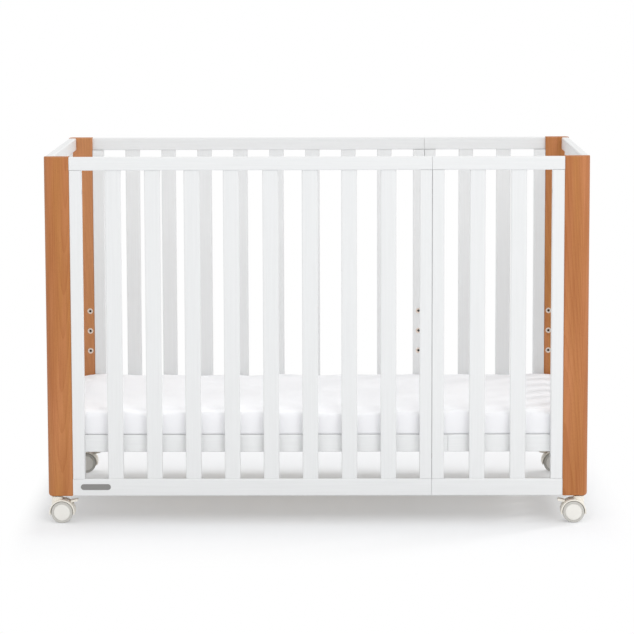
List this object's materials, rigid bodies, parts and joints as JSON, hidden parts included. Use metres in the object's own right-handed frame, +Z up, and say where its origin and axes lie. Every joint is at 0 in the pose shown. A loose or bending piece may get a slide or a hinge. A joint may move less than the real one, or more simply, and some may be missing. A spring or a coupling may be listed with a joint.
{
  "type": "baby crib",
  "caption": "Baby crib with beech posts, white slatted sides and ends, a height-adjustable slatted base, a mattress and braked twin-wheel casters",
  "frame": {"origin": "on the floor, below the middle of the crib", "axes": "+X along the crib towards the narrow section of each side, +Y across it towards the rear side, +Z up"},
  "size_m": [1.24, 0.671, 0.843],
  "materials": {
    "beech": "matt clear lacquer on solid beech",
    "white_lacquer": "satin white lacquer on wood",
    "birch_ply": "unfinished birch plywood",
    "mattress_fabric": "white cotton jersey sheet",
    "steel": "zinc-plated steel",
    "caster_white": "satin moulded nylon",
    "wheel_grey": "satin moulded plastic with a soft tread"
  },
  "bodies": {
    "crib_frame": {"post_front_left": "beech", "post_front_right": "beech", "post_rear_left": "beech", "post_rear_right": "beech", "front_wide_top_rail": "white_lacquer", "front_wide_bottom_rail": "white_lacquer", "front_narrow_top_rail": "white_lacquer", "front_narrow_bottom_rail": "white_lacquer", "front_left_stile": "white_lacquer", "front_middle_stiles": "white_lacquer", "front_right_stile": "white_lacquer", "front_wide_slats": "white_lacquer", "front_narrow_slats": "white_lacquer", "rear_wide_top_rail": "white_lacquer", "rear_wide_bottom_rail": "white_lacquer", "rear_narrow_top_rail": "white_lacquer", "rear_narrow_bottom_rail": "white_lacquer", "rear_left_stile": "white_lacquer", "rear_middle_stiles": "white_lacquer", "rear_right_stile": "white_lacquer", "rear_wide_slats": "white_lacquer", "rear_narrow_slats": "white_lacquer", "left_end_top_rail": "white_lacquer", "left_end_bottom_rail": "white_lacquer", "left_end_slats": "white_lacquer", "right_end_top_rail": "white_lacquer", "right_end_bottom_rail": "white_lacquer", "right_end_slats": "white_lacquer", "base_wide_front_rail": "white_lacquer", "base_wide_rear_rail": "white_lacquer", "base_narrow_front_rail": "white_lacquer", "base_narrow_rear_rail": "white_lacquer", "base_left_cross_rail": "white_lacquer", "base_middle_cross_rails": "white_lacquer", "base_right_cross_rail": "white_lacquer", "base_slats": "birch_ply", "threaded_inserts": "steel", "bolts": "steel", "caster_stems": "steel"},
    "mattress": {"mattress": "mattress_fabric"},
    "caster_fl": {"caster_fl_hood": "caster_white", "caster_fl_axle": "steel"},
    "caster_fl_outer_wheel": {"caster_fl_outer_wheel": "wheel_grey"},
    "caster_fl_inner_wheel": {"caster_fl_inner_wheel": "wheel_grey"},
    "caster_fl_lever": {"caster_fl_lever": "caster_white"},
    "caster_fr": {"caster_fr_hood": "caster_white", "caster_fr_axle": "steel"},
    "caster_fr_outer_wheel": {"caster_fr_outer_wheel": "wheel_grey"},
    "caster_fr_inner_wheel": {"caster_fr_inner_wheel": "wheel_grey"},
    "caster_fr_lever": {"caster_fr_lever": "caster_white"},
    "caster_rl": {"caster_rl_hood": "caster_white", "caster_rl_axle": "steel"},
    "caster_rl_outer_wheel": {"caster_rl_outer_wheel": "wheel_grey"},
    "caster_rl_inner_wheel": {"caster_rl_inner_wheel": "wheel_grey"},
    "caster_rl_lever": {"caster_rl_lever": "caster_white"},
    "caster_rr": {"caster_rr_hood": "caster_white", "caster_rr_axle": "steel"},
    "caster_rr_outer_wheel": {"caster_rr_outer_wheel": "wheel_grey"},
    "caster_rr_inner_wheel": {"caster_rr_inner_wheel": "wheel_grey"},
    "caster_rr_lever": {"caster_rr_lever": "caster_white"}
  },
  "joints": [
    {"name": "mattress_lift", "type": "slide", "parent": "crib_frame", "child": "mattress", "axis": [0, 0, 1], "range_m": [0, 0.65]},
    {"name": "caster_fl_swivel", "type": "hinge", "parent": "crib_frame", "child": "caster_fl", "pos_m": [-0.6, -0.315, 0.05], "axis": [0, 0, 1], "continuous": true},
    {"name": "caster_fl_outer_wheel_roll", "type": "hinge", "parent": "caster_fl", "child": "caster_fl_outer_wheel", "pos_m": [-0.588, -0.315, 0.025], "axis": [0, 1, 0], "continuous": true},
    {"name": "caster_fl_inner_wheel_roll", "type": "hinge", "parent": "caster_fl", "child": "caster_fl_inner_wheel", "pos_m": [-0.588, -0.315, 0.025], "axis": [0, 1, 0], "continuous": true},
    {"name": "caster_fl_brake", "type": "hinge", "parent": "caster_fl", "child": "caster_fl_lever", "pos_m": [-0.574, -0.315, 0.039], "axis": [0, 1, 0], "range_deg": [0, 20]},
    {"name": "caster_fr_swivel", "type": "hinge", "parent": "crib_frame", "child": "caster_fr", "pos_m": [0.6, -0.315, 0.05], "axis": [0, 0, 1], "continuous": true},
    {"name": "caster_fr_outer_wheel_roll", "type": "hinge", "parent": "caster_fr", "child": "caster_fr_outer_wheel", "pos_m": [0.588, -0.315, 0.025], "axis": [0, 1, 0], "continuous": true},
    {"name": "caster_fr_inner_wheel_roll", "type": "hinge", "parent": "caster_fr", "child": "caster_fr_inner_wheel", "pos_m": [0.588, -0.315, 0.025], "axis": [0, 1, 0], "continuous": true},
    {"name": "caster_fr_brake", "type": "hinge", "parent": "caster_fr", "child": "caster_fr_lever", "pos_m": [0.574, -0.315, 0.039], "axis": [0, -1, 0], "range_deg": [0, 20]},
    {"name": "caster_rl_swivel", "type": "hinge", "parent": "crib_frame", "child": "caster_rl", "pos_m": [-0.6, 0.315, 0.05], "axis": [0, 0, 1], "continuous": true},
    {"name": "caster_rl_outer_wheel_roll", "type": "hinge", "parent": "caster_rl", "child": "caster_rl_outer_wheel", "pos_m": [-0.588, 0.315, 0.025], "axis": [0, 1, 0], "continuous": true},
    {"name": "caster_rl_inner_wheel_roll", "type": "hinge", "parent": "caster_rl", "child": "caster_rl_inner_wheel", "pos_m": [-0.588, 0.315, 0.025], "axis": [0, 1, 0], "continuous": true},
    {"name": "caster_rl_brake", "type": "hinge", "parent": "caster_rl", "child": "caster_rl_lever", "pos_m": [-0.574, 0.315, 0.039], "axis": [0, 1, 0], "range_deg": [0, 20]},
    {"name": "caster_rr_swivel", "type": "hinge", "parent": "crib_frame", "child": "caster_rr", "pos_m": [0.6, 0.315, 0.05], "axis": [0, 0, 1], "continuous": true},
    {"name": "caster_rr_outer_wheel_roll", "type": "hinge", "parent": "caster_rr", "child": "caster_rr_outer_wheel", "pos_m": [0.588, 0.315, 0.025], "axis": [0, 1, 0], "continuous": true},
    {"name": "caster_rr_inner_wheel_roll", "type": "hinge", "parent": "caster_rr", "child": "caster_rr_inner_wheel", "pos_m": [0.588, 0.315, 0.025], "axis": [0, 1, 0], "continuous": true},
    {"name": "caster_rr_brake", "type": "hinge", "parent": "caster_rr", "child": "caster_rr_lever", "pos_m": [0.574, 0.315, 0.039], "axis": [0, -1, 0], "range_deg": [0, 20]}
  ]
}
